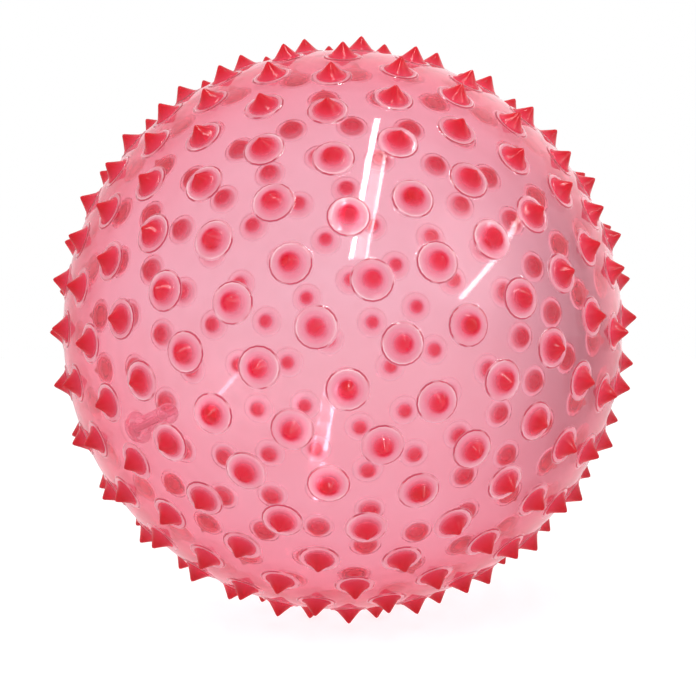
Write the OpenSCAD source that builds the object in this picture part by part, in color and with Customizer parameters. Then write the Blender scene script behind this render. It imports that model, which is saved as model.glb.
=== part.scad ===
// Inflatable sensory ball: a translucent pink skin with round pads, a soft red
// spike moulded on each pad, and a needle valve with its pull-out plug.
// The ball's centre is the origin and +Z points up. The spikes lie in rows
// round a slanting line through the centre, with one spike at the line's upper
// end and the valve at its lower end.

/* [Ball skin] */
// Outside diameter of the skin between its pads
skin_d = 190.5; // [160:0.5:240]
// Thickness of the skin
skin_wall = 1.3; // [0.9:0.1:2.4]

/* [Pads] */
// Diameter of the flat round pad under each spike
pad_d = 12; // [10.5:0.1:13]
// Height of a pad's flat face over the crown of the skin under it
pad_rise = 0.15; // [0.05:0.05:0.6]

/* [Spikes] */
// Diameter of a spike's foot
spike_foot_d = 9.4; // [7:0.1:10]
// Height of the upright edge round a spike's foot
spike_foot_h = 0.3; // [0.1:0.05:0.8]
// Height of a spike over its pad
spike_h = 4.6; // [3:0.1:8]
// Radius of a spike's rounded tip
spike_tip_r = 0.5; // [0.2:0.05:0.9]

/* [Layout] */
// Compass direction of the spike at the upper end of the slanting line
pole_turn = -25.5; // [-180:0.5:180]
// Distance along the skin from the middle of the valve to the last spike row
valve_room = 25.7; // [22:0.1:32]

/* [Valve] */
// Diameter of the flat pad on the skin round the valve
valve_pad_d = 15; // [13.5:0.1:20]
// Height of the valve's flat outer face over the crown of the skin there
valve_rise = 0.2; // [0.05:0.05:0.8]
// Thickness of the skin where the valve goes through it
valve_boss_t = 2.4; // [2:0.1:5]
// Diameter of the valve's neck in the skin
valve_neck_d = 9.6; // [8.4:0.1:11.5]
// Diameter of the flange bonded to the skin's inside
valve_flange_d = 12.6; // [12:0.1:14.5]
// Thickness of that flange
valve_flange_t = 1.6; // [0.8:0.1:3]
// Diameter of the valve's tube
valve_tube_d = 7; // [5.6:0.1:8]
// Diameter of the thick, round inner end of the tube
valve_bulb_d = 8; // [7.2:0.1:10]
// Height of the valve from its outer face to its inner end
valve_len = 21; // [19:0.5:30]
// Diameter of the air hole, which grips the plug
air_hole_d = 3; // [2:0.1:3.6]

/* [Plug] */
// Diameter of the plug's head
plug_head_d = 6.2; // [5:0.1:7.2]
// Thickness of the plug's head, which lies flush with the valve's face
plug_head_t = 1.2; // [0.8:0.1:1.8]
// Length of the plug's stem under its head
plug_stem_l = 15; // [8:0.5:16]

/* [Hidden] */

// Rows of spikes between the pole spike and the valve
spike_rows = 14;
// The ball stands on one spike of this row and on two of the next
stance_row = 9;
// Turn of each row about the line, as a share of its own spacing
row_turn_shares = [0, 0.15, 0, 0.75, 0.85, 0.8, 0.4, 0.35, 0.45, 0, 0.5, 0.6, 0.6, 0.55, 0.45];
// Bond line round the valve's neck
bond_gap = 0.02;
// Gap round the plug's head and under it
head_gap = 0.1;
// Running gap round the plug's stem
stem_gap = 0.04;
// Overrun of every cut
over = 0.5;

skin_r = skin_d / 2;
inner_r = skin_r - skin_wall;
pad_z = skin_r + pad_rise;
pad_root = skin_wall / 2;
valve_z = skin_r + valve_rise;
valve_seat_z = valve_z - valve_boss_t;
row_step = (180 - valve_room / skin_r * 180 / PI) / spike_rows;

// Lean of the slanting line over level: the three spikes of the stance then
// have their tips at one height under the ball's centre
stance_half = 180 / row_count(stance_row + 1);
pole_lean = atan2(
  sin(row_angle(stance_row)) - sin(row_angle(stance_row + 1)) * cos(stance_half),
  cos(row_angle(stance_row)) - cos(row_angle(stance_row + 1))
);

function row_angle(row) = row * row_step;
function row_count(row) = max(1, round(360 * sin(row_angle(row)) / row_step));

module stood() rotate([0, 90 - pole_lean, pole_turn]) children();

// Puts a child, built upwards from a pad's face, on every pad of a row
module on_row(row, height) {
  count = row_count(row);
  for (i = [0 : count - 1])
    rotate([0, 0, (i + row_turn_shares[row]) * 360 / count])
      rotate([0, row_angle(row), 0])
        translate([0, 0, height])
          children();
}

module at_valve(height) rotate([180, 0, 0]) translate([0, 0, height]) children();

module cavity() {
  difference() {
    sphere(r = inner_r, $fn = 240);
    at_valve(valve_seat_z) cylinder(h = valve_boss_t, d = valve_pad_d, $fn = 96);
  }
}

module ball_skin() {
  color([0.95, 0.62, 0.68, 0.7])
    stood()
      difference() {
        union() {
          sphere(r = skin_r, $fn = 240);
          for (row = [0 : spike_rows])
            on_row(row, skin_r - pad_root)
              cylinder(h = pad_root + pad_rise, d = pad_d, $fn = 48);
          at_valve(skin_r - pad_root)
            cylinder(h = pad_root + valve_rise, d = valve_pad_d, $fn = 96);
        }
        cavity();
        at_valve(valve_seat_z - over)
          cylinder(h = valve_boss_t + 2 * over, d = valve_neck_d + 2 * bond_gap, $fn = 64);
      }
}

// Cone from the foot's edge that runs smoothly into the round tip
module spike() {
  foot_r = spike_foot_d / 2;
  tip_z = spike_h - spike_tip_r;
  drop = tip_z - spike_foot_h;
  side = sqrt(foot_r * foot_r + drop * drop);
  touch = acos(spike_tip_r / side) - atan2(drop, foot_r);
  rotate_extrude($fn = 48)
    union() {
      polygon([
        [0, 0],
        [foot_r, 0],
        [foot_r, spike_foot_h],
        [spike_tip_r * cos(touch), tip_z + spike_tip_r * sin(touch)],
        [0, tip_z],
      ]);
      intersection() {
        translate([0, tip_z]) circle(r = spike_tip_r, $fn = 48);
        translate([0, tip_z - spike_tip_r]) square(2 * spike_tip_r);
      }
    }
}

module spikes(row) {
  color([0.86, 0.14, 0.2])
    stood()
      on_row(row, pad_z)
        spike();
}

// Drawn with its outer face at zero height and its inner end below
module valve_shape() {
  bulb_r = valve_bulb_d / 2;
  bulb_z = bulb_r - valve_len;
  flange_z = -valve_boss_t - valve_flange_t;
  difference() {
    union() {
      translate([0, 0, flange_z])
        cylinder(h = -flange_z, d = valve_neck_d, $fn = 64);
      translate([0, 0, flange_z])
        cylinder(h = valve_flange_t, d = valve_flange_d, $fn = 64);
      translate([0, 0, bulb_z])
        cylinder(h = -bulb_z + flange_z, d = valve_tube_d, $fn = 64);
      translate([0, 0, bulb_z])
        sphere(d = valve_bulb_d, $fn = 64);
    }
    translate([0, 0, -plug_head_t - head_gap])
      cylinder(h = plug_head_t + head_gap + over, d = plug_head_d + 2 * head_gap, $fn = 64);
    translate([0, 0, -valve_len - over])
      cylinder(h = valve_len + 2 * over, d = air_hole_d, $fn = 48);
  }
}

module valve_body() {
  color([0.88, 0.5, 0.58])
    stood()
      at_valve(valve_z)
        valve_shape();
}

module valve_plug() {
  stem_r = air_hole_d / 2 - stem_gap;
  color([0.95, 0.93, 0.92])
    stood()
      at_valve(valve_z - plug_head_t) {
        cylinder(h = plug_head_t, d = plug_head_d, $fn = 64);
        translate([0, 0, stem_r - plug_stem_l])
          cylinder(h = plug_stem_l - stem_r, r = stem_r, $fn = 48);
        translate([0, 0, stem_r - plug_stem_l])
          sphere(r = stem_r, $fn = 48);
      }
}

ball_skin();
spikes(0);  // pole_spike
spikes(1);  // spikes_row_01
spikes(2);  // spikes_row_02
spikes(3);  // spikes_row_03
spikes(4);  // spikes_row_04
spikes(5);  // spikes_row_05
spikes(6);  // spikes_row_06
spikes(7);  // spikes_row_07
spikes(8);  // spikes_row_08
spikes(9);  // spikes_row_09
spikes(10);  // spikes_row_10
spikes(11);  // spikes_row_11
spikes(12);  // spikes_row_12
spikes(13);  // spikes_row_13
spikes(14);  // spikes_row_14
valve_body();
valve_plug();
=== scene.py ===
import math

import bpy
from mathutils import Matrix, Vector


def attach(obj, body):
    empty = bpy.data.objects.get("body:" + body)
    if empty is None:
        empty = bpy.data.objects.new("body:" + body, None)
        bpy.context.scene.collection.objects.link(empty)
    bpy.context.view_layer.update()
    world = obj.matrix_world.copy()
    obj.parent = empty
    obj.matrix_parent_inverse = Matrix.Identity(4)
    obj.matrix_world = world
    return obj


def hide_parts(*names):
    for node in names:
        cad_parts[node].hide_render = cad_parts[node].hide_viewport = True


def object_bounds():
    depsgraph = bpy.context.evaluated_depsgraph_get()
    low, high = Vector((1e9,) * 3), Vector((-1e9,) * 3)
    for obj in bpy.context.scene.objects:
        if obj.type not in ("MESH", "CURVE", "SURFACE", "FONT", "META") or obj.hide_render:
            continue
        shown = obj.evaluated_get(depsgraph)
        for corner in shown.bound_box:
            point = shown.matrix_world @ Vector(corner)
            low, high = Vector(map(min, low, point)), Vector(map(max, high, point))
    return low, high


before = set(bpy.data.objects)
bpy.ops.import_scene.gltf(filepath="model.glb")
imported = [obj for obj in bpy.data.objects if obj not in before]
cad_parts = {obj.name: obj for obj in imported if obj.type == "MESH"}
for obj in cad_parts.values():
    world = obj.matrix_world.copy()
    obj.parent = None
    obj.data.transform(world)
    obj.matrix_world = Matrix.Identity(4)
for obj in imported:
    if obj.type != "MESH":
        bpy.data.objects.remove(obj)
cad_low, cad_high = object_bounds()


# Camera: level with the ball's middle and 46 cm away, as in the photograph.
# The ball stands a little left of and above the middle of the picture.
skin_radius = 0.09525
camera_distance = 4.87 * skin_radius
lens_mm, sensor_mm, picture_pixels = 68.95, 36, 696
pixels_right, pixels_down = 5, 17.5

camera_data = bpy.data.cameras.new("camera")
camera_data.sensor_width = sensor_mm
camera_data.lens = lens_mm
camera_data.clip_start = 0.01
camera = bpy.data.objects.new("camera", camera_data)
bpy.context.scene.collection.objects.link(camera)
camera.location = (0, -camera_distance, 0)
lens_pixels = lens_mm / sensor_mm * picture_pixels
view_line = Vector((pixels_right / lens_pixels, 1, -pixels_down / lens_pixels))
camera.rotation_mode = "QUATERNION"
camera.rotation_quaternion = view_line.to_track_quat("-Z", "Y")
bpy.context.scene.camera = camera
bpy.context.scene.view_settings.view_transform = "Standard"
# A line of sight passes up to 24 clear walls: skin, pads and spikes, front and rear.
bpy.context.scene.cycles.transparent_max_bounces = 24


# Floor and backdrop: a pale studio floor under the lowest spikes, and a white
# backdrop all round. Both show white to the camera, and the floor keeps the shadow.
# Seen through the clear ball, the backdrop has painted shade on the right, for the ball's right
# side, and painted pink light below, as if cast through the ball onto the floor.
class Finish:
    """The nodes of one material, or of the world, added from first to last."""

    def __init__(self, tree, end="ShaderNodeOutputMaterial"):
        tree.nodes.clear()
        self.tree = tree
        self.end = tree.nodes.new(end)

    def feed(self, socket, value):
        """Joins an input to another node's output, or sets it to a plain value."""
        if isinstance(value, bpy.types.NodeSocket):
            self.tree.links.new(value, socket)
        else:
            socket.default_value = (*value, 1) if socket.type == "RGBA" else value

    def add(self, kind, *fed, **named):
        """Adds a node. Values are fed in the inputs' order, or by an input's or option's name."""
        node = self.tree.nodes.new(kind)
        for socket, value in zip(node.inputs, fed):
            self.feed(socket, value)
        for name, value in named.items():
            socket = node.inputs.get(name.replace("_", " "))
            if socket is None:
                setattr(node, name, value)
            else:
                self.feed(socket, value)
        return node

    def math(self, operation, *values, clamp=False):
        return self.add("ShaderNodeMath", *values, operation=operation, use_clamp=clamp).outputs[0]

    def spread(self, value, low, high, to_low=0.0, to_high=1.0, curve="LINEAR"):
        """Turns the range low to high into the range to_low to to_high."""
        node = self.add(
            "ShaderNodeMapRange", value, low, high, to_low, to_high, interpolation_type=curve
        )
        return node.outputs["Result"]

    def tones(self, value, *stops):
        """A colour for each value, from stops of (value, colour), lowest first."""
        node = self.add("ShaderNodeValToRGB", value)
        elements = node.color_ramp.elements
        elements[0].position, elements[1].position = stops[0][0], stops[-1][0]
        elements[0].color, elements[1].color = (*stops[0][1], 1), (*stops[-1][1], 1)
        for at, colour in stops[1:-1]:
            elements.new(at).color = (*colour, 1)
        return node.outputs["Color"]

    def blend(self, share, first, second, blend_type="MIX"):
        """Blends two colours."""
        node = self.add("ShaderNodeMix", share, data_type="RGBA", blend_type=blend_type)
        self.feed(node.inputs[6], first)
        self.feed(node.inputs[7], second)
        return node.outputs[2]

    def shader(self, kind, **named):
        return self.add(f"ShaderNodeBsdf{kind}", **named).outputs[0]

    def mixed(self, share, first, second):
        """Mixes two shaders. The share is the second one's."""
        return self.add("ShaderNodeMixShader", share, first, second).outputs[0]

    def seen_through(self):
        """1 for a line of sight that has already passed through a clear wall."""
        rays = self.add("ShaderNodeLightPath").outputs
        passed = self.math("GREATER_THAN", rays["Transparent Depth"], 0.5)
        straight = self.math("MULTIPLY", passed, rays["Is Camera Ray"])
        return self.math("MAXIMUM", straight, rays["Is Transmission Ray"])

    def done(self, surface):
        self.tree.links.new(surface, self.end.inputs["Surface"])


def new_finish(name):
    """An empty material and its finish."""
    material = bpy.data.materials.new(name)
    material.use_nodes = True
    return material, Finish(material.node_tree)


def grey(level):
    return (level, level, level)


white = grey(1)
world = bpy.data.worlds.new("backdrop")
bpy.context.scene.world = world
world.use_nodes = True
air = Finish(world.node_tree, "ShaderNodeOutputWorld")
rays = air.add("ShaderNodeLightPath").outputs
direction = air.add("ShaderNodeTexCoord").outputs["Generated"]
apart = air.add("ShaderNodeSeparateXYZ", direction).outputs

# The light that falls on the ball comes from the left more than from the right.
side_light = air.spread(apart["X"], -0.1, 0.5, 1.0, 0.05)
soft_light = air.add("ShaderNodeBackground", white, side_light).outputs[0]

# Painted shade: seen through the ball, the backdrop dims on the right, so the ball's right side
# looks shaded.
painted_right_shade = air.tones(
    air.spread(apart["X"], -1, 1),
    (0.53, white), (0.555, grey(0.92)), (0.57, grey(0.77)), (0.584, grey(0.54)),
    (0.596, grey(0.32)), (0.61, grey(0.22)), (0.66, grey(0.4)), (1.0, grey(0.75)),
)
# Painted light: pink light, as if cast through the ball, on the floor seen through it.
painted_pink_floor_light = air.tones(
    air.spread(apart["Z"], -0.2, 0.05),
    (0.2, (1, 0.81, 0.84)), (0.44, (1, 0.79, 0.815)), (0.68, (1, 0.88, 0.885)), (0.92, white),
)
behind = air.blend(1, painted_right_shade, painted_pink_floor_light, "MULTIPLY")
shown = air.blend(air.seen_through(), white, behind)

# The skin mirrors a soft window, high at the front right, and a brighter wall at the
# back right. Only mirrored rays see them.
wall = air.spread(air.math("ADD", apart["X"], apart["Y"]), 0.5, 1.2, 0, 0.6)
towards_window = air.add(
    "ShaderNodeVectorMath", direction, (0.74, -0.52, 0.43), operation="DOT_PRODUCT"
).outputs["Value"]
window = air.spread(towards_window, 0.9, 1, 0, 2, "SMOOTHSTEP")
mirrored = air.math("SUBTRACT", rays["Is Glossy Ray"], rays["Is Transmission Ray"], clamp=True)
strength = air.math("MULTIPLY_ADD", air.math("ADD", wall, window), mirrored, 1.0)
seen_backdrop = air.add("ShaderNodeBackground", shown, strength).outputs[0]
camera_or_glossy = air.math("MAXIMUM", rays["Is Camera Ray"], rays["Is Glossy Ray"])
sees_backdrop = air.math("MAXIMUM", camera_or_glossy, rays["Is Transmission Ray"])
air.done(air.mixed(sees_backdrop, soft_light, seen_backdrop))

bpy.ops.object.select_all(action="DESELECT")
bpy.ops.mesh.primitive_plane_add(size=8, location=(0, 0, cad_low.z))
floor = bpy.context.object
floor.name = "studio_floor"
floor_white, paint = new_finish("pale_floor")
# The camera and reflections see a floor that glows nearly white and takes the shadow.
rays = paint.add("ShaderNodeLightPath").outputs
lit = paint.shader("Diffuse", Color=grey(0.86))
dimly_lit = paint.shader("Diffuse", Color=grey(0.4))
glow = paint.add("ShaderNodeEmission", white, 0.78).outputs[0]
seen_lit = paint.add("ShaderNodeAddShader", dimly_lit, glow).outputs[0]
seen = paint.math("MAXIMUM", rays["Is Camera Ray"], rays["Is Glossy Ray"])
open_floor = paint.mixed(seen, lit, seen_lit)
paint.done(paint.mixed(paint.seen_through(), open_floor, paint.shader("Transparent", Color=white)))
floor.data.materials.append(floor_white)


# Lamps: a bright strip overhead in front, with a pale band and a dimmer strip beside
# it, a slanted strip to the right, and a small low one. Each shows as a streak on the
# skin. A large soft box at the left lights the ball and isn't mirrored.
def strip_lamp(name, upper, lower, width, watts, distance=0.9):
    """A long lamp between two directions seen from the ball's middle."""
    upper, lower = Vector(upper).normalized(), Vector(lower).normalized()
    middle = (upper + lower).normalized()
    half_angle = upper.angle(lower) / 2
    data = bpy.data.lights.new(name, "AREA")
    data.shape = "RECTANGLE"
    data.size = width
    data.size_y = 2 * distance * math.tan(half_angle)
    data.energy = watts
    lamp = bpy.data.objects.new(name, data)
    bpy.context.scene.collection.objects.link(lamp)
    along = (upper - lower).normalized()
    turn = Matrix((along.cross(middle), along, middle)).transposed().to_4x4()
    lamp.matrix_world = Matrix.Translation(middle * distance) @ turn
    lamp.visible_camera = False
    return lamp


strip_lamp("strip_overhead", (0.16, -0.03, 0.985), (0.05, -0.9, 0.44), width=0.028, watts=4.4)
strip_lamp("strip_beside", (0.22, -0.3, 0.93), (0.14, -0.89, 0.44), width=0.015, watts=0.8)
strip_lamp("band_between", (0.2, -0.28, 0.94), (0.095, -0.895, 0.44), width=0.055, watts=0.9)
strip_lamp("strip_right", (0.825, 0.0, 0.565), (0.682, -0.707, 0.186), width=0.026, watts=1.4)
strip_lamp("strip_low", (-0.2, -0.86, -0.47), (0.0, -0.55, -0.83), width=0.02, watts=0.7)
soft_box = strip_lamp(
    "soft_box_left", (-0.8, -0.2, 0.75), (-0.7, -0.75, -0.1), width=1.3, watts=3.0, distance=1.6
)
soft_box.visible_glossy = False


# Skin: one hollow ball of clear pink soft PVC, rotationally moulded. Its wall is
# 1.3 mm, and it is thicker round the hole that the valve is bonded into.
inner_radius = 0.09395
valve_pad_radius, neck_radius = 0.0075, 0.00482
valve_face, valve_seat = 0.09545, 0.09305
edge_round, boss_flare = 0.0002, 0.0004
same_place = 1e-6


def alone(piece):
    """Makes the piece the only one selected, and the active one."""
    bpy.ops.object.select_all(action="DESELECT")
    piece.select_set(True)
    bpy.context.view_layer.objects.active = piece


def pick_points(piece, wanted):
    """Enters edit mode with just the points selected whose place passes the test."""
    alone(piece)
    bpy.ops.object.mode_set(mode="EDIT")
    bpy.ops.mesh.select_mode(type="VERT")
    bpy.ops.mesh.select_all(action="DESELECT")
    bpy.ops.object.mode_set(mode="OBJECT")
    for point in piece.data.vertices:
        point.select = wanted(point.co)
    bpy.ops.object.mode_set(mode="EDIT")


def half_arc(name, radius, hole_radius):
    """Half a circle on the X side, open round the hole at its lower end."""
    bpy.ops.object.select_all(action="DESELECT")
    bpy.ops.mesh.primitive_circle_add(vertices=320, radius=radius, rotation=(math.pi / 2, 0, 0))
    arc = bpy.context.object
    arc.name = name
    bpy.ops.object.transform_apply(location=False, rotation=True, scale=False)
    pick_points(arc, lambda p: p.x < -same_place or (p.z < 0 and p.x < hole_radius * 1.05))
    bpy.ops.mesh.delete(type="VERT")
    bpy.ops.object.mode_set(mode="OBJECT")
    return arc


def draw_on(piece, start, corners):
    """Extrudes the point at the start through the corners, given as (radius, height)."""
    at = Vector((start[0], 0, start[1]))
    here = min(piece.data.vertices, key=lambda v: (v.co - at).length).co.copy()
    pick_points(piece, lambda p: (p - here).length < same_place)
    for radius, height in corners:
        there = Vector((radius, 0, height))
        bpy.ops.mesh.extrude_region_move(TRANSFORM_OT_translate={"value": there - here})
        here = there
    bpy.ops.object.mode_set(mode="OBJECT")


def spun(piece, steps):
    """Turns the drawn outline once round the Z axis and closes it."""
    alone(piece)
    bpy.ops.object.mode_set(mode="EDIT")
    bpy.ops.mesh.select_all(action="SELECT")
    bpy.ops.mesh.spin(steps=steps, angle=2 * math.pi, center=(0, 0, 0), axis=(0, 0, 1))
    bpy.ops.mesh.select_all(action="SELECT")
    bpy.ops.mesh.remove_doubles(threshold=same_place)
    bpy.ops.mesh.normals_make_consistent(inside=False)
    bpy.ops.object.mode_set(mode="OBJECT")


def settle(piece, place):
    """Moves the piece to its place, and keeps the place in its mesh."""
    alone(piece)
    piece.matrix_world = place @ piece.matrix_world
    bpy.ops.object.transform_apply(location=True, rotation=True, scale=True)


def smoothed(piece, degrees):
    """Shades the piece smooth, apart from edges sharper than the angle."""
    alone(piece)
    bpy.ops.object.shade_smooth_by_angle(angle=math.radians(degrees))


skin = half_arc("skin_ball", skin_radius, valve_pad_radius)
inner_arc = half_arc("inner_arc", inner_radius, valve_pad_radius)
rim_height = math.sqrt(skin_radius ** 2 - valve_pad_radius ** 2)
boss_corner = (valve_pad_radius + boss_flare, -valve_seat - edge_round)
draw_on(skin, (valve_pad_radius, -rim_height), [
    (valve_pad_radius + edge_round, -rim_height - 0.00002),
    (valve_pad_radius, -valve_face + 0.0001),
    (valve_pad_radius - edge_round, -valve_face),
    (neck_radius, -valve_face),
    (neck_radius, -valve_seat),
    (valve_pad_radius, -valve_seat),
    boss_corner,
])
alone(skin)
inner_arc.select_set(True)
bpy.ops.object.join()
inner_end = min(
    (
        v.co.copy() for v in skin.data.vertices
        if v.co.z < 0 and abs(v.co.length - inner_radius) < 1e-5
    ),
    key=lambda p: p.x,
)
boss_end = Vector((boss_corner[0], 0, boss_corner[1]))
pick_points(skin, lambda p: min((p - inner_end).length, (p - boss_end).length) < same_place)
bpy.ops.mesh.edge_face_add()
bpy.ops.object.mode_set(mode="OBJECT")
spun(skin, 160)

# The spikes lie in rows round a slanting line, with the valve at its lower end. The
# ball stands on one spike of a row and two of the next, which gives the line's lean.
spike_rows = 14
row_turns = [0, 0.15, 0, 0.75, 0.85, 0.8, 0.4, 0.35, 0.45, 0, 0.5, 0.6, 0.6, 0.55, 0.45]
valve_room = 0.0257
stance_row = 9
line_turn = math.radians(-25.5)
row_step = (180 - math.degrees(valve_room / skin_radius)) / spike_rows


def row_lean(row):
    """The angle between the slanting line and a row's spikes."""
    return math.radians(row * row_step)


def row_count(row):
    """How many spikes a row holds, at the spacing that the rows have."""
    return max(1, round(360 * math.sin(row_lean(row)) / row_step))


one, two = row_lean(stance_row), row_lean(stance_row + 1)
half_gap = math.cos(math.pi / row_count(stance_row + 1))
line_lean = math.atan2(
    math.sin(one) - math.sin(two) * half_gap,
    math.cos(one) - math.cos(two),
)
stood = Matrix.Rotation(line_turn, 4, "Z") @ Matrix.Rotation(math.pi / 2 - line_lean, 4, "Y")
settle(skin, stood)
smoothed(skin, 40)


def cloud(finish, scale, detail, roughness=0.5):
    """A soft irregular pattern that is fixed in the piece."""
    place = finish.add("ShaderNodeTexCoord").outputs["Object"]
    noise = finish.add(
        "ShaderNodeTexNoise", Vector=place, Scale=scale, Detail=detail, Roughness=roughness
    )
    return noise.outputs["Fac"]


def rippled(finish, height, distance):
    """A normal that follows faint ripples."""
    bump = finish.add("ShaderNodeBump", Strength=0.06, Distance=distance, Height=height)
    return bump.outputs["Normal"]


def facing(finish, **normal):
    """0 where the wall is seen straight on, 1 at its edge."""
    return finish.add("ShaderNodeLayerWeight", Blend=0.5, **normal).outputs["Facing"]


def gloss_share(finish, straight, grazing):
    """How much a wall reflects: a little straight on, and more towards its edge."""
    return finish.spread(finish.math("POWER", facing(finish), 5), 0, 1, straight, grazing)


haze_pink = (0.97, 0.33, 0.45)
skin_pvc, pink = new_finish("clear_pink_pvc")
tint = pink.tones(
    cloud(pink, 38, 3, 0.55), (0.3, (0.975, 0.808, 0.848)), (0.7, (0.981, 0.832, 0.872))
)
slant = facing(pink)
slant_tint = pink.tones(
    slant,
    (0.0, white),
    (0.3, (1, 0.965, 0.972)),
    (0.5, (0.997, 0.912, 0.928)),
    (0.7, (0.988, 0.79, 0.825)),
    (0.85, (0.965, 0.55, 0.61)),
    (1.0, (0.75, 0.3, 0.35)),
)
clear = pink.shader("Transparent", Color=pink.blend(1, tint, slant_tint, "MULTIPLY"))
haze_share = pink.spread(slant, 0.45, 1.05, 0.022, 0.4, "SMOOTHERSTEP")
haze = pink.mixed(
    0.5, pink.shader("Diffuse", Color=haze_pink), pink.shader("Translucent", Color=haze_pink)
)
body = pink.mixed(haze_share, clear, haze)
ripples = rippled(pink, cloud(pink, 120, 2), 0.0004)
shine = pink.shader("Glossy", Color=white, Roughness=0.05, Normal=ripples)
pink.done(pink.mixed(gloss_share(pink, 0.018, 0.6), body, shine))
skin.data.materials.append(skin_pvc)
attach(skin, "ball")
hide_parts("ball_skin")


# Pads: a round pad of the same PVC under every spike, moulded with the skin. Its milky
# face blurs what lies behind it. Its edge shows a dark red arc, which is painted shade for light
# bent at the step, and its raised lip shows a pale arc, which is a painted highlight. Both are
# faint on the far half, as the photograph shows no more there.
pad_edge, pad_face = 0.0069, 0.0954
pad_sink = 0.00006


def drawn_up(name, segments, rings):
    """A round solid drawn upwards from its underside through rings of (radius, height)."""
    bpy.ops.object.select_all(action="DESELECT")
    radius, height = rings[0]
    bpy.ops.mesh.primitive_circle_add(
        vertices=segments, radius=radius, fill_type="NGON", location=(0, 0, height)
    )
    piece = bpy.context.object
    piece.name = name
    bpy.ops.object.transform_apply(location=True, rotation=False, scale=False)
    pick_points(piece, lambda p: True)
    for next_radius, next_height in rings[1:]:
        next_radius = max(next_radius, 1e-5)
        share = next_radius / radius
        rise = (0, 0, next_height - height)
        bpy.ops.mesh.extrude_region_move(TRANSFORM_OT_translate={"value": rise})
        bpy.ops.transform.resize(value=(share, share, 1), center_override=(0, 0, 0))
        radius, height = next_radius, next_height
    bpy.ops.mesh.select_all(action="SELECT")
    bpy.ops.mesh.normals_make_consistent(inside=False)
    bpy.ops.object.mode_set(mode="OBJECT")
    return piece


def closed_tip(piece):
    """Merges the last small ring, round the axis, into one point."""
    pick_points(piece, lambda p: math.hypot(p.x, p.y) < 0.0001)
    bpy.ops.mesh.merge(type="CENTER")
    bpy.ops.object.mode_set(mode="OBJECT")


def note_radius(piece, name, full_radius):
    """Keeps each point's distance from the axis, as a share, for the material."""
    shares = piece.data.attributes.new(name, "FLOAT", "POINT")
    for point, share in zip(piece.data.vertices, shares.data):
        share.value = min(1, math.hypot(point.co.x, point.co.y) / full_radius)


def clear_root(piece, name, colour, below):
    """Gives the faces of the underside a clear material of their own."""
    root, finish = new_finish(name)
    finish.done(finish.shader("Transparent", Color=colour))
    piece.data.materials.append(root)
    for face in piece.data.polygons:
        if face.center.z < below:
            face.material_index = 1


def copies_on_rows(model, name, rows):
    """A piece made of copies of the model, one on every pad of the rows."""
    copies = []
    for row in rows:
        count = row_count(row)
        for i in range(count):
            copy = model.copy()
            copy.data = model.data.copy()
            bpy.context.scene.collection.objects.link(copy)
            turn = Matrix.Rotation(math.radians((i + row_turns[row]) * 360 / count), 4, "Z")
            copy.matrix_world = stood @ turn @ Matrix.Rotation(row_lean(row), 4, "Y")
            copies.append(copy)
    bpy.ops.object.select_all(action="DESELECT")
    for copy in copies:
        copy.select_set(True)
    piece = copies[0]
    bpy.context.view_layer.objects.active = piece
    if len(copies) > 1:
        bpy.ops.object.join()
    piece.name = name
    bpy.ops.object.transform_apply(location=True, rotation=True, scale=True)
    return piece


pad = drawn_up("pad_model", 18, [
    (pad_edge, pad_face - 0.00046),
    (0.0062, pad_face - 0.0003),
    (0.00588, pad_face - pad_sink),
    (0.0056, pad_face + 0.00002),
    (0.0052, pad_face - pad_sink),
    (0.0, pad_face - pad_sink),
])
closed_tip(pad)
note_radius(pad, "pad_share", pad_edge)
smoothed(pad, 60)

pad_pink, arc_shade_red = (1, 0.875, 0.91), (0.45, 0.02, 0.06)
clear_pink = (1, 0.985, 0.99)
# How pale the lip's painted highlight is.
lip_highlight_level = 0.28
pad_pvc, milk = new_finish("milky_pad_pvc")
share = milk.add("ShaderNodeAttribute", attribute_name="pad_share").outputs["Fac"]
place = milk.add("ShaderNodeTexCoord").outputs["Object"]
far = milk.add("ShaderNodeSeparateXYZ", place).outputs["Y"]
fade_back = milk.spread(far, 0.035, 0.0, 0.15, 1)
# Painted shade: patches of the pad's edge where the dark red arc shows.
shade_arc_patch = milk.spread(cloud(milk, 150, 1), 0.4, 0.5)
shade_arc_share = milk.math("MULTIPLY", shade_arc_patch, fade_back)
# Painted shade and highlight: a dark red arc at the pad's edge, in place of light bent at the
# step, with pale painted lines beside it.
shade_and_highlight_bands = milk.tones(
    share,
    (0.76, pad_pink), (0.835, (1, 0.9, 0.925)), (0.845, arc_shade_red), (0.895, arc_shade_red),
    (0.91, (1, 0.96, 0.97)),
)
film = milk.shader(
    "Principled", Roughness=0.5, IOR=1.18, Transmission_Weight=1,
    Base_Color=milk.blend(shade_arc_share, pad_pink, shade_and_highlight_bands),
)
film_share = milk.tones(
    share, (0.3, grey(0)), (0.58, white), (0.9, white), (0.93, grey(0))
)
face = milk.mixed(film_share, milk.shader("Transparent", Color=clear_pink), film)
# Painted highlight: the raised lip turns pale in patches, where it would catch the lamps.
lip_highlight_band = milk.tones(
    share,
    (0.765, grey(0)), (0.795, grey(lip_highlight_level)), (0.82, grey(lip_highlight_level)), (0.84, grey(0)),
)
lip_highlight_patch = milk.spread(cloud(milk, 110, 1), 0.42, 0.66, 0.05, 1.3)
lip_highlight_share = milk.math("MULTIPLY", milk.math("MULTIPLY", lip_highlight_band, fade_back), lip_highlight_patch)
lip_highlighted = milk.mixed(lip_highlight_share, face, milk.shader("Diffuse", Color=(1, 0.93, 0.95)))
shine = milk.shader("Glossy", Color=white, Roughness=0.06)
milk.done(milk.mixed(gloss_share(milk, 0.02, 0.5), lip_highlighted, shine))
pad.data.materials.append(pad_pvc)
clear_root(pad, "clear_pad_root", clear_pink, pad_face - 0.00045)
pads = copies_on_rows(pad, "skin_pads", range(spike_rows + 1))
bpy.data.objects.remove(pad)
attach(pads, "ball")
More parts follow.
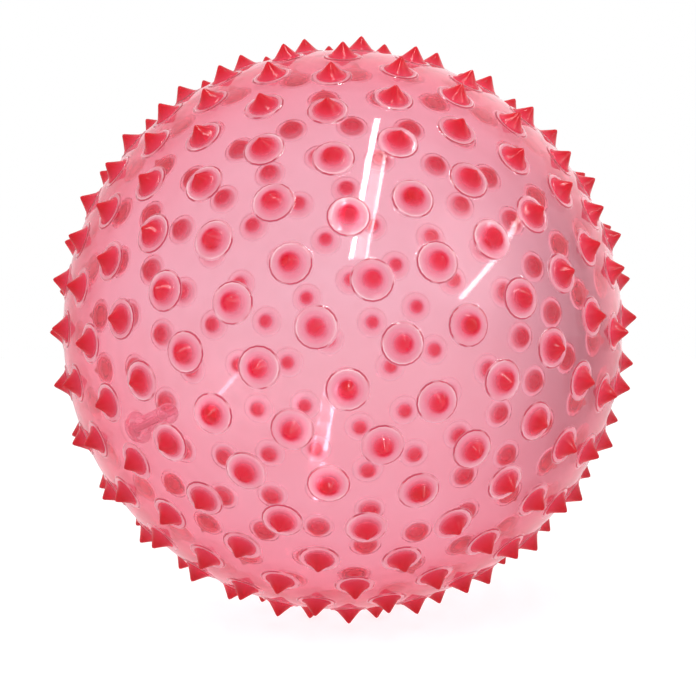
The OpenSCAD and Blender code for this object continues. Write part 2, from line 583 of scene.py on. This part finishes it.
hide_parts("ball_skin")


# Spikes: a soft red PVC cone on each pad, moulded on with the skin. It is see-through:
# deep red along its axis and from the side, where the PVC is thick, and pink at the
# thin flared foot.
foot_radius, spike_height = 0.0047, 0.0046
spike = drawn_up("spike_model", 16, [
    (foot_radius, pad_face - 0.0003),
    (foot_radius, pad_face + 0.00002),
    (0.0037, pad_face + 0.0006),
    (0.0020, pad_face + 0.0025),
    (0.0006, pad_face + 0.0042),
    (0.0, pad_face + spike_height),
])
closed_tip(spike)
note_radius(spike, "spike_share", foot_radius)
smoothed(spike, 75)

spike_pvc, red = new_finish("soft_red_pvc")
share = red.add("ShaderNodeAttribute", attribute_name="spike_share").outputs["Fac"]
ripples = rippled(red, cloud(red, 300, 2), 0.0003)
lit_red = red.tones(
    share, (0.4, (0.6, 0.012, 0.028)), (0.7, (0.66, 0.035, 0.075)), (1.0, (0.74, 0.08, 0.15))
)
rubber = red.shader(
    "Principled", Base_Color=lit_red, Roughness=0.14, IOR=1.5, Specular_IOR_Level=0.25,
    Normal=ripples,
)
through_red = red.tones(share, (0.35, (0.84, 0.02, 0.055)), (0.9, (0.88, 0.07, 0.13)))
body = red.mixed(0.45, rubber, red.shader("Translucent", Color=through_red))

# The slant is that of the skin under the spike, so that it is the same all over it.
place = red.add("ShaderNodeTexCoord").outputs["Object"]
upright = red.add("ShaderNodeVectorMath", place, operation="NORMALIZE").outputs[0]
slant = facing(red, Normal=upright)
depth = red.math("MULTIPLY_ADD", slant, -1.0, share)
glass_red = red.tones(
    depth, (0.22, (0.96, 0.04, 0.12)), (0.5, (0.965, 0.15, 0.27)), (0.82, (0.985, 0.62, 0.72))
)
shiny_glass = red.mixed(
    gloss_share(red, 0.032, 0.3),
    red.shader("Transparent", Color=glass_red),
    red.shader("Glossy", Color=white, Roughness=0.1, Normal=ripples),
)
thick = red.mixed(red.spread(slant, 0.05, 0.45, 0.8, 0.2), body, shiny_glass)
thin_pink = red.tones(
    share, (0.5, (0.97, 0.4, 0.5)), (0.72, (0.985, 0.78, 0.84)), (1.0, (1, 0.94, 0.96))
)
thick_share = red.spread(depth, 0.85, 0.25, curve="SMOOTHSTEP")
red.done(red.mixed(thick_share, red.shader("Transparent", Color=thin_pink), thick))
spike.data.materials.append(spike_pvc)
clear_root(spike, "clear_spike_root", (1, 0.97, 0.98), pad_face - 0.0002)
for row in range(spike_rows + 1):
    node = "pole_spike" if row == 0 else f"spikes_row_{row:02d}"
    cones = copies_on_rows(spike, f"red_cones_{row:02d}", [row])
    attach(cones, "ball")
    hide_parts(node)
bpy.data.objects.remove(spike)


# Valve: a soft rosy PVC moulding bonded into the skin from inside, with a flange,
# a neck through the skin, and a tube with a thick round end.
at_valve = stood @ Matrix.Rotation(math.pi, 4, "X")
tube_radius, bulb_radius, flange_radius = 0.0035, 0.004, 0.0063
hole_radius, recess_radius, recess_depth = 0.0015, 0.0032, 0.0013
valve_length, flange_thickness = 0.021, 0.0016
bond_gap = 0.00002
flange_low = valve_seat - flange_thickness
bulb_middle = valve_face - valve_length + bulb_radius
hole_end = bulb_middle - math.sqrt(bulb_radius ** 2 - hole_radius ** 2)

# A single point at the middle, from which the valve's outline is drawn.
valve = drawn_up("valve_outline", 3, [(0.001, 0)])
alone(valve)
bpy.ops.object.mode_set(mode="EDIT")
bpy.ops.mesh.select_all(action="SELECT")
bpy.ops.mesh.delete(type="ONLY_FACE")
bpy.ops.mesh.select_all(action="SELECT")
bpy.ops.mesh.merge(type="CENTER")
bpy.ops.object.mode_set(mode="OBJECT")
bulb = [
    (bulb_radius * math.cos(angle), bulb_middle + bulb_radius * math.sin(angle))
    for angle in (math.radians(degrees) for degrees in range(50, -61, -10))
]
draw_on(valve, (0, 0), [
    (hole_radius, hole_end),
    (hole_radius, valve_face - recess_depth),
    (recess_radius, valve_face - recess_depth),
    (recess_radius, valve_face - edge_round),
    (recess_radius + edge_round, valve_face),
    (neck_radius - bond_gap - edge_round, valve_face),
    (neck_radius - bond_gap, valve_face - edge_round),
    (neck_radius - bond_gap, valve_seat),
    (flange_radius - edge_round, valve_seat),
    (flange_radius, valve_seat - edge_round),
    (flange_radius, flange_low + 0.0003),
    (flange_radius - 0.0003, flange_low),
    (tube_radius + 0.0008, flange_low),
    (tube_radius + 0.0002, flange_low - 0.0003),
    (tube_radius, flange_low - 0.0009),
    (tube_radius, bulb_middle + 0.0031),
    *bulb,
    (hole_radius, hole_end),
])
pick_points(valve, lambda p: p.length < same_place)
bpy.ops.mesh.delete(type="VERT")
bpy.ops.object.mode_set(mode="OBJECT")
spun(valve, 48)
valve.name = "valve_tube"
settle(valve, at_valve)
smoothed(valve, 35)

valve_pvc, rosy = new_finish("rosy_valve_pvc")
shade = rosy.tones(cloud(rosy, 140, 3), (0.35, (0.93, 0.44, 0.55)), (0.7, (0.98, 0.62, 0.71)))
soft = rosy.shader("Principled", Base_Color=shade, Roughness=0.2, IOR=1.5)
clear = rosy.shader("Transparent", Color=(0.985, 0.87, 0.91))
rosy.done(rosy.mixed(rosy.spread(facing(rosy), 0, 1, 0.1, 0.7), clear, soft))
valve.data.materials.append(valve_pvc)
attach(valve, "ball")
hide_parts("valve_body")


# Plug: a milky plastic pin pushed into the air hole, with a flat head flush with
# the valve's face and a rounded end. It pulls straight out.
stem_radius, head_radius, dimple_radius = 0.00146, 0.0031, 0.0012
stem_length, head_thickness = 0.015, 0.0012
head_low = valve_face - head_thickness
plug = drawn_up("pull_plug", 32, [
    (0.0005, head_low - stem_length),
    (0.0012, head_low - 0.0146),
    (stem_radius, head_low - 0.0138),
    (stem_radius, head_low),
    (head_radius, head_low),
    (head_radius, valve_face - edge_round),
    (head_radius - edge_round, valve_face),
    (dimple_radius + edge_round, valve_face),
    (dimple_radius, valve_face - 0.00015),
])
settle(plug, at_valve)
smoothed(plug, 35)

plug_plastic, milky = new_finish("milky_plug_plastic")
shade = milky.tones(cloud(milky, 220, 2), (0, (0.84, 0.78, 0.77)), (1, (0.9, 0.86, 0.85)))
milky.done(milky.shader("Principled", Base_Color=shade, Roughness=0.3, IOR=1.48))
plug.data.materials.append(plug_plastic)
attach(plug, "plug")
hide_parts("valve_plug")
